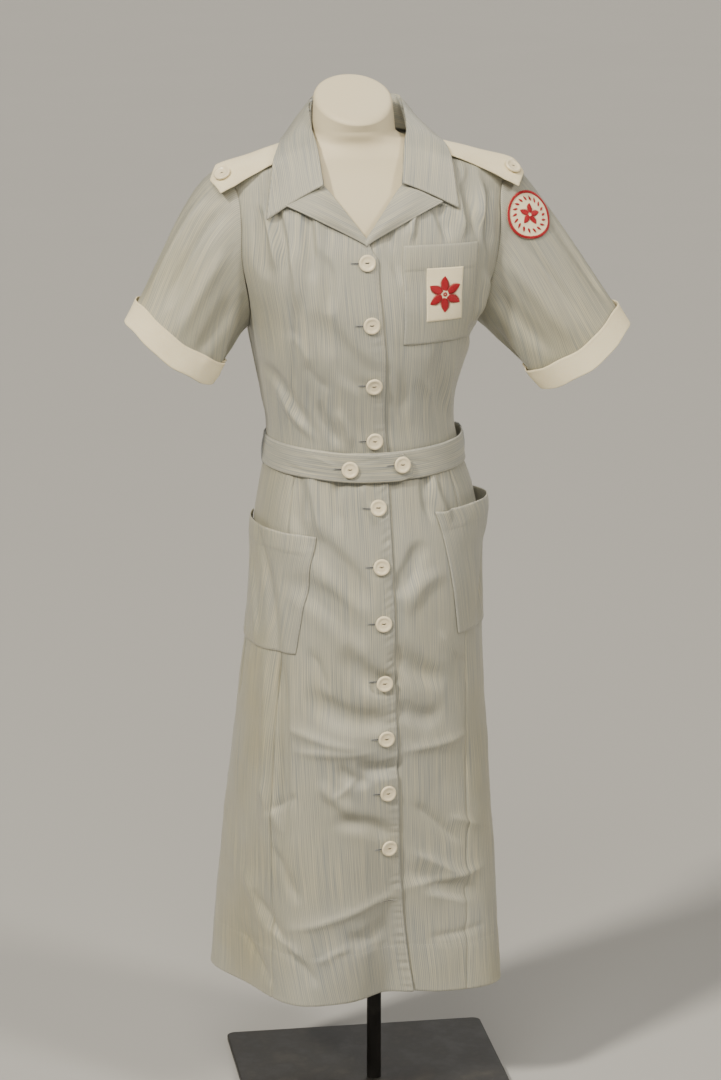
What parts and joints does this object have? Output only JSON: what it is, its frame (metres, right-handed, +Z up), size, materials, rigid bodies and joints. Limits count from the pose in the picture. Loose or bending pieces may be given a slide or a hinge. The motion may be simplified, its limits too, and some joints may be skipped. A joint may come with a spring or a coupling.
{
  "type": "nurse uniform dress on a dress form",
  "caption": "Short-sleeved button-front nurse uniform dress of fine striped cotton with white cuffs, shoulder straps and a belt, worn on a limbless dress form on a flat stand.",
  "frame": {"origin": "centre of the stand's underside, on the pole's axis", "axes": "+Z up, the dress faces -Y, the wearer's left is +X"},
  "size_m": [0.6423, 0.356, 1.3524],
  "materials": {
    "striped_cotton": "matt cotton with hairline stripes",
    "white_cotton": "matt cream-white cotton",
    "button_shell": "satin, off-white",
    "badge_cloth": "embroidered cloth, red on white",
    "form_skin": "satin cream paint",
    "stand_metal": "dark brown-black paint"
  },
  "bodies": {
    "root": {"skirt_front_right": "striped_cotton", "skirt_front_left": "striped_cotton", "skirt_side_right": "striped_cotton", "skirt_side_left": "striped_cotton", "skirt_back": "striped_cotton", "bodice_front_right": "striped_cotton", "bodice_front_left": "striped_cotton", "bodice_back": "striped_cotton", "lapel_right": "striped_cotton", "lapel_left": "striped_cotton", "collar": "striped_cotton", "sleeve_right": "striped_cotton", "cuff_right": "white_cotton", "sleeve_left": "striped_cotton", "cuff_left": "white_cotton", "patch_sleeve": "badge_cloth", "pocket_chest": "striped_cotton", "patch_pocket": "white_cotton", "pocket_hip_right": "striped_cotton", "pocket_hip_left": "striped_cotton", "belt": "striped_cotton", "belt_loop_right": "striped_cotton", "belt_loop_left": "striped_cotton", "epaulette_right": "white_cotton", "epaulette_left": "white_cotton", "button_front_01": "button_shell", "button_front_02": "button_shell", "button_front_03": "button_shell", "button_front_04": "button_shell", "button_front_05": "button_shell", "button_front_06": "button_shell", "button_front_07": "button_shell", "button_front_08": "button_shell", "button_front_09": "button_shell", "button_front_10": "button_shell", "button_front_11": "button_shell", "button_belt_1": "button_shell", "button_belt_2": "button_shell", "button_epaulette_right": "button_shell", "button_epaulette_left": "button_shell", "form_torso": "form_skin", "form_pole": "stand_metal", "form_base": "stand_metal"}
  },
  "joints": []
}
